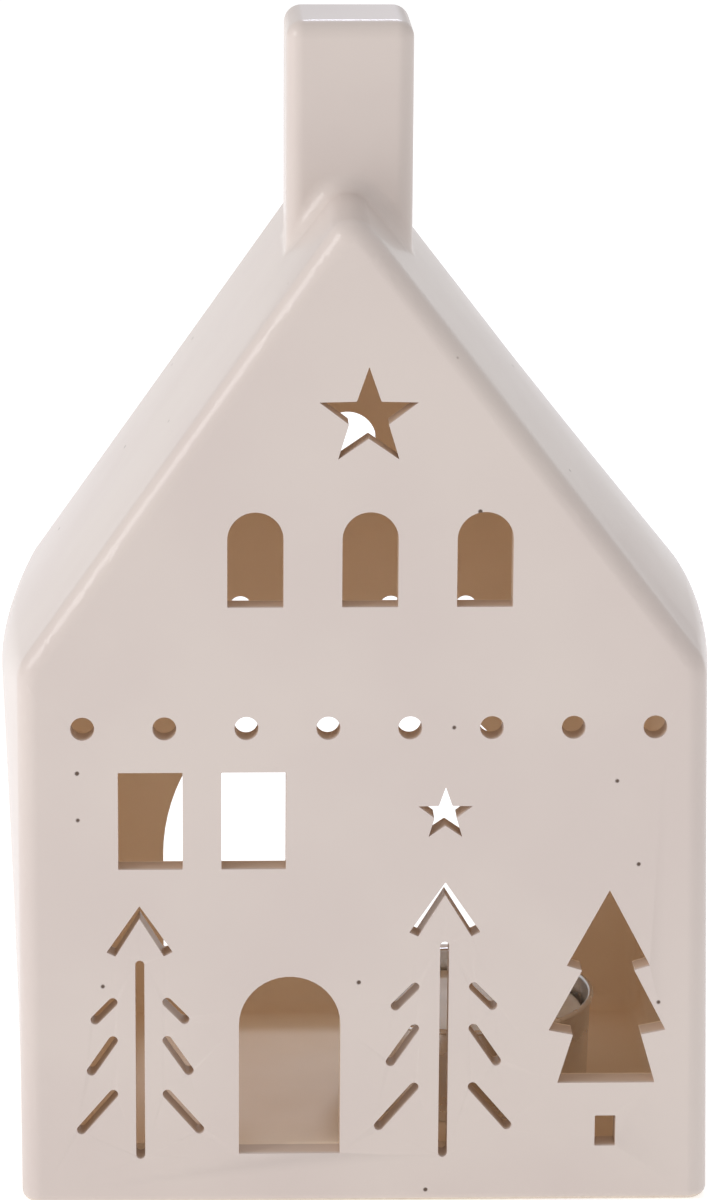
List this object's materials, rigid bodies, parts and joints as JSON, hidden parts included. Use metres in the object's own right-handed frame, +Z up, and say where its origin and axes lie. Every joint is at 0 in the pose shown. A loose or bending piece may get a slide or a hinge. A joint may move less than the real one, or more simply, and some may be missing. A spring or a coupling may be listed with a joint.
{
  "type": "tealight holder",
  "caption": "White glazed ceramic tealight holder shaped as a gabled house with a chimney, pierced with windows, stars and trees, with a tealight that goes in at the back.",
  "frame": {"origin": "middle of the box's base, on the surface that the holder stands on", "axes": "+Z up, the front wall with the door faces -Y, +X to the right seen from the front"},
  "size_m": [0.1032, 0.068, 0.1688],
  "materials": {
    "glaze": "glossy warm white glaze",
    "cup_metal": "thin pressed aluminium",
    "wax": "smooth white paraffin wax",
    "wick_cotton": "braided cotton",
    "sustainer_metal": "tinned steel"
  },
  "bodies": {
    "house": {"house_shell": "glaze"},
    "tealight": {"tealight_cup": "cup_metal"},
    "candle": {"candle_wax": "wax", "wick": "wick_cotton", "wick_sustainer": "sustainer_metal"}
  },
  "joints": [
    {"name": "tealight_out", "type": "slide", "parent": "house", "child": "tealight", "axis": [-0.3219, 0.8047, 0.4989], "range_m": [0, 0.078]},
    {"name": "candle_lift", "type": "slide", "parent": "tealight", "child": "candle", "axis": [0, 0, 1], "range_m": [0, 0.018]}
  ]
}
